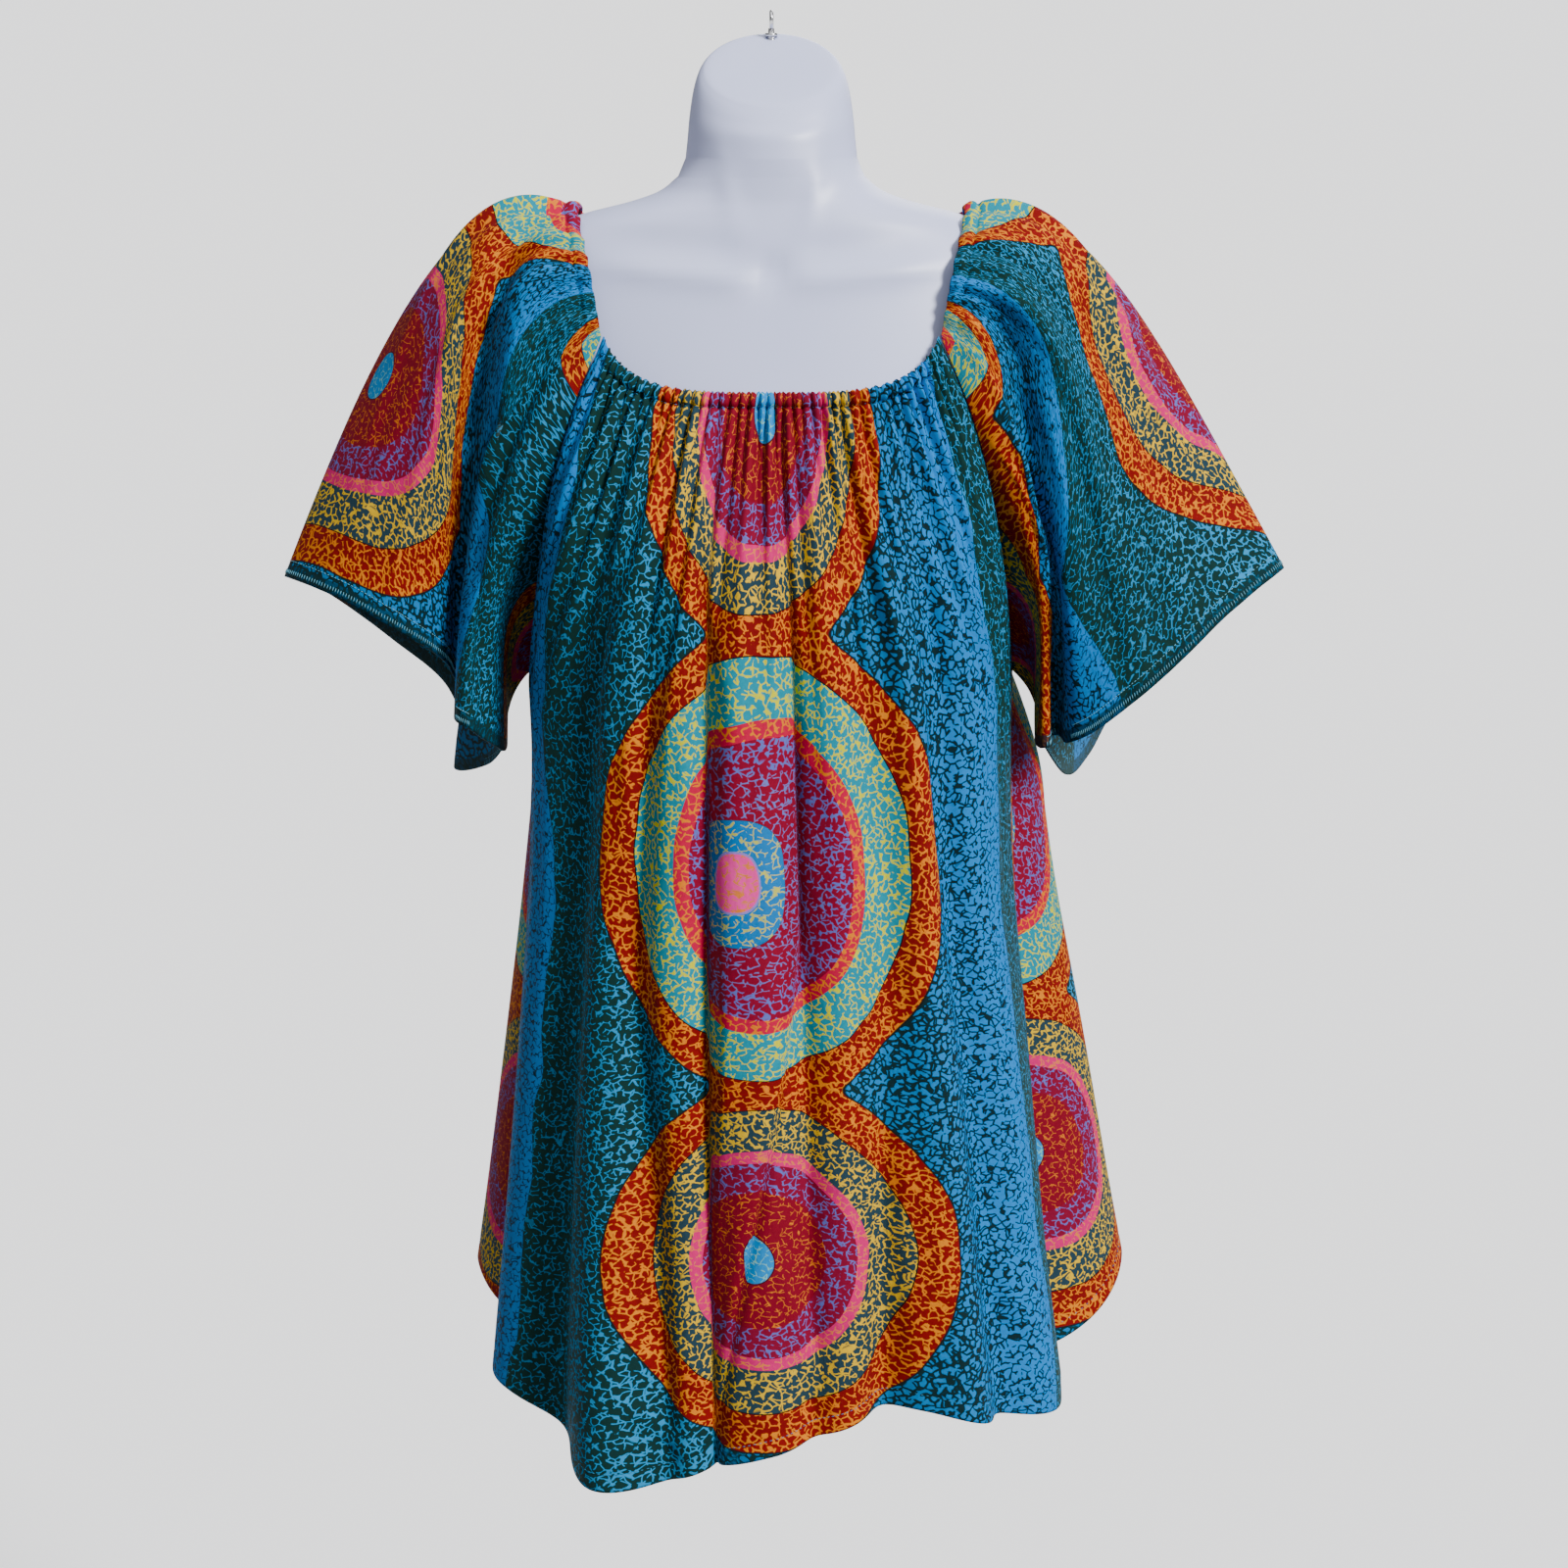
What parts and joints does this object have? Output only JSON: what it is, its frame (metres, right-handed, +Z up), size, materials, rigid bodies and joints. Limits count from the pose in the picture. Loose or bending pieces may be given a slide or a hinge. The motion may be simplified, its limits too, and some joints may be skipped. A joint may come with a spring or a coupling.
{
  "type": "gathered wax print dress on a limbless hanging dress form",
  "caption": "Mini dress in wax print cotton with an elasticated gathered neck and wide flared raglan sleeves, on a limbless hanging dress form with a metal eye.",
  "frame": {"origin": "inside top of the metal eye on the neck cap, where a hook carries the form", "axes": "+Z up, the front of the dress faces -Y, +X towards the right as seen from the front"},
  "size_m": [0.6897, 0.3425, 0.987],
  "materials": {
    "wax_print_cotton": "matte printed plain-weave cotton, ringed medallions with a crackle in blue, orange, red and yellow",
    "white_plastic": "smooth cool white moulded plastic with a soft gloss",
    "bright_steel": "bright plated steel wire"
  },
  "bodies": {
    "root": {"dress_front": "wax_print_cotton", "dress_back": "wax_print_cotton", "sleeve_left": "wax_print_cotton", "sleeve_right": "wax_print_cotton", "dress_form": "white_plastic", "hanging_eye": "bright_steel"}
  },
  "joints": []
}
